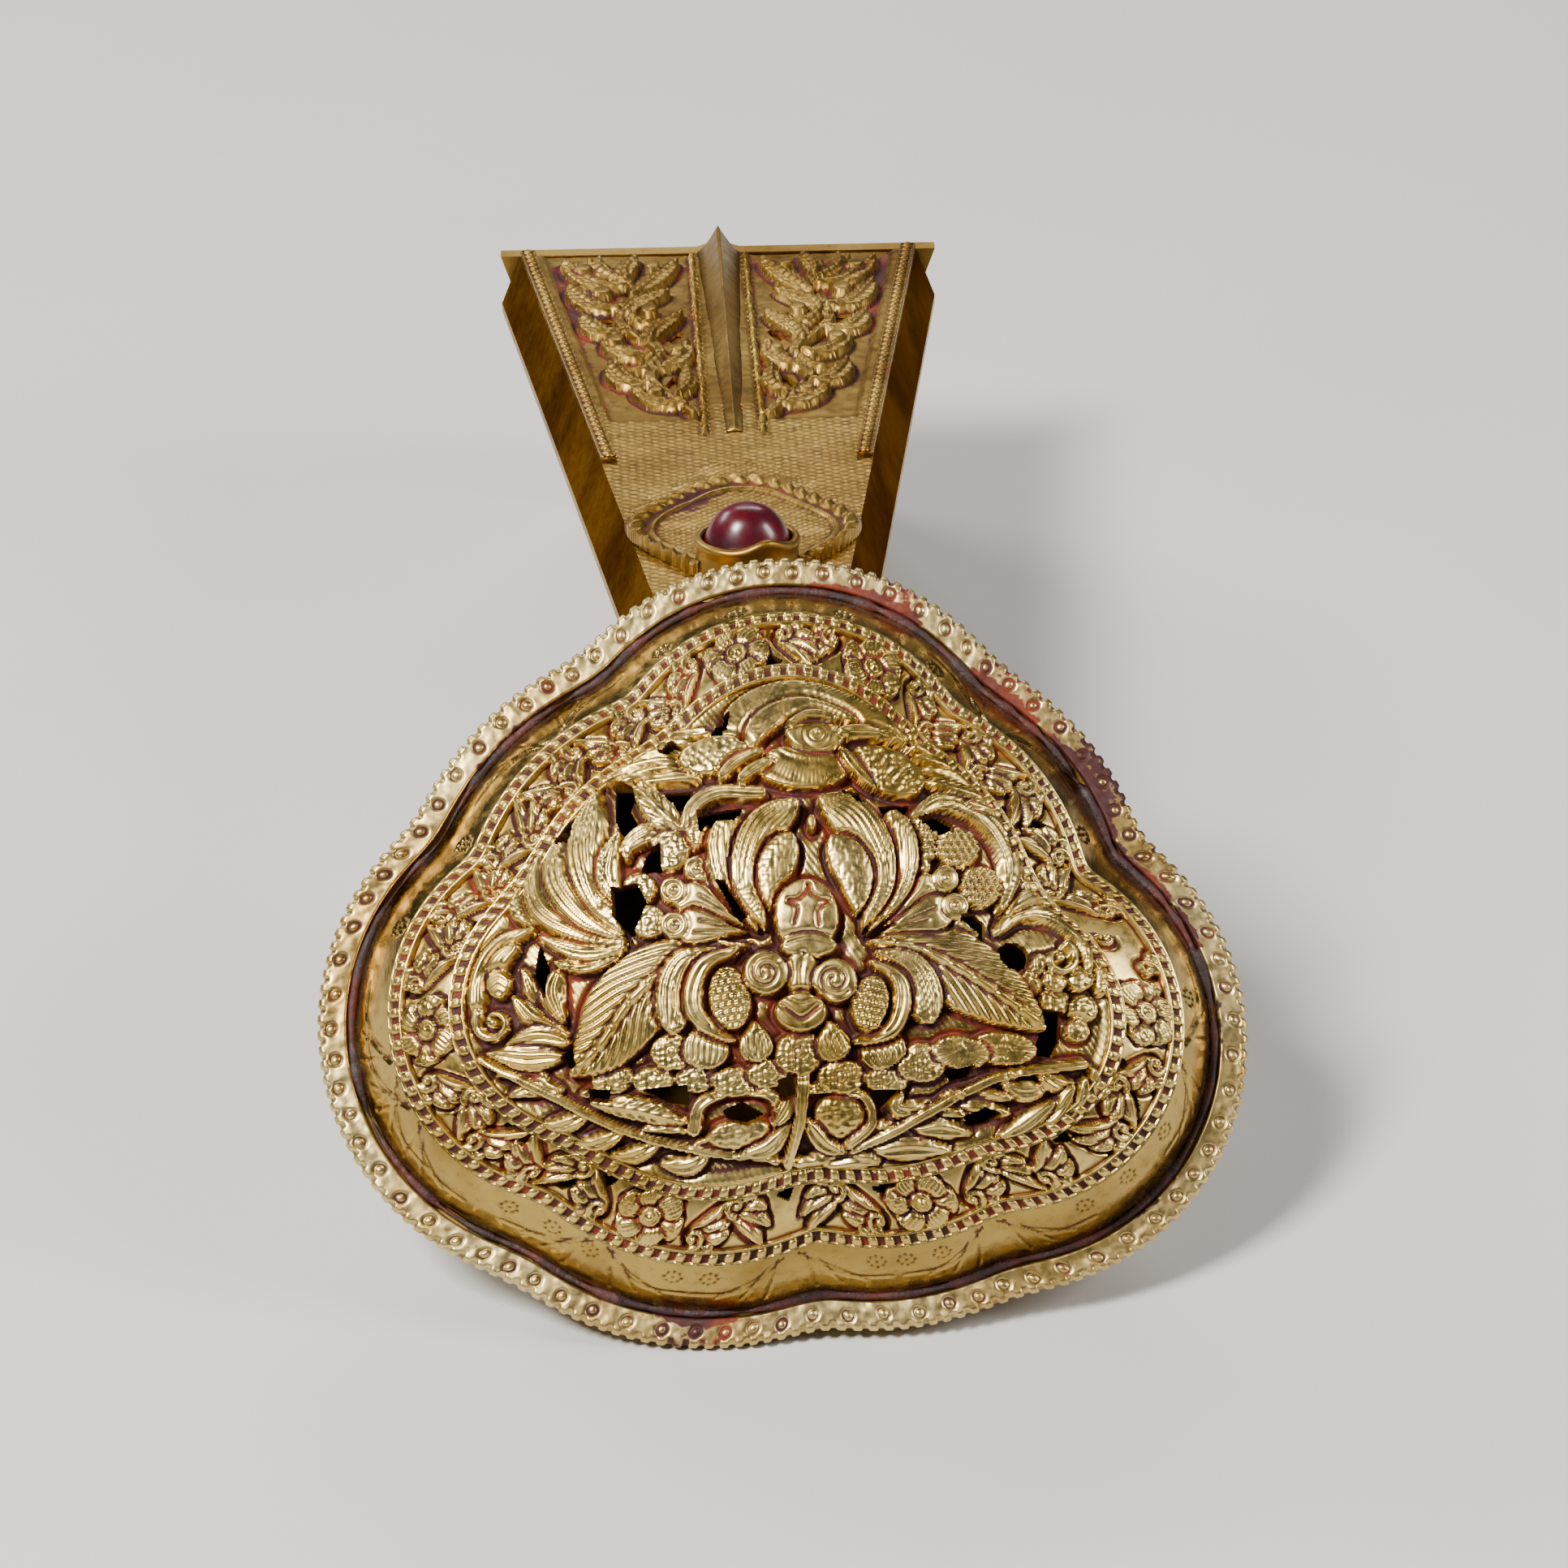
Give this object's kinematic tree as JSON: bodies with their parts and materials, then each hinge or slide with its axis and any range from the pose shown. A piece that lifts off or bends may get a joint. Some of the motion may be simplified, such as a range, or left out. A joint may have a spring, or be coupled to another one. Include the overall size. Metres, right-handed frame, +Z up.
{
  "type": "hand censer",
  "caption": "Gilt hand censer: a lobed bowl with a hinged pierced relief cover, a gem at the neck and a flared keeled handle ending in a tail foot.",
  "frame": {"origin": "on the standing surface, at the middle of the footprint box", "axes": "+Z up from the standing surface; +Y runs back from the head along the handle to the tail; +X across, to the right of someone who faces the cover"},
  "size_m": [0.0792, 0.1455, 0.0501],
  "materials": {
    "gilt_sheet": "chased gilt sheet, satin, with worn highlights and dark recesses",
    "gilt_rim": "paler gilt band, ring punched and notched, with red lac in the punches",
    "gilt_plain": "smooth burnished gilt sheet with faint hammer marks",
    "bronze_pan": "smoke-darkened bronze",
    "red_lac": "aged red lac filler",
    "core_wood": "plain close-grained wood",
    "garnet": "polished crimson cabochon"
  },
  "bodies": {
    "base": {"bowl": "gilt_plain", "bowl_edge_strip": "gilt_plain", "incense_pan": "bronze_pan", "pan_lugs": "gilt_plain", "bowl_knuckles": "gilt_plain", "hinge_pin": "gilt_plain", "neck_socket": "gilt_plain", "tang": "gilt_plain", "neck_pins": "gilt_plain", "gem_bezel": "gilt_sheet", "gem_bed": "red_lac", "gem": "garnet", "cartouche_plate": "gilt_sheet", "handle_top_left": "gilt_sheet", "handle_top_right": "gilt_sheet", "handle_left_side": "gilt_plain", "handle_right_side": "gilt_plain", "handle_back_plate": "gilt_plain", "handle_core": "core_wood", "keel": "gilt_sheet", "left_border": "gilt_sheet", "right_border": "gilt_sheet", "tail_plate": "gilt_sheet", "tail_rib": "gilt_sheet", "tail_foot": "gilt_plain"},
    "cover": {"cover": "gilt_sheet", "rim_band": "gilt_rim", "seam_lac": "red_lac", "outer_bead_wire": "gilt_sheet", "inner_bead_wire": "gilt_sheet", "cover_collar": "gilt_plain", "cover_knuckle": "gilt_plain"}
  },
  "joints": [
    {"name": "cover_hinge", "type": "hinge", "parent": "base", "child": "cover", "pos_m": [0.001, -0.02486, 0.04678], "axis": [-1, 0, 0], "range_deg": [0, 100]}
  ]
}
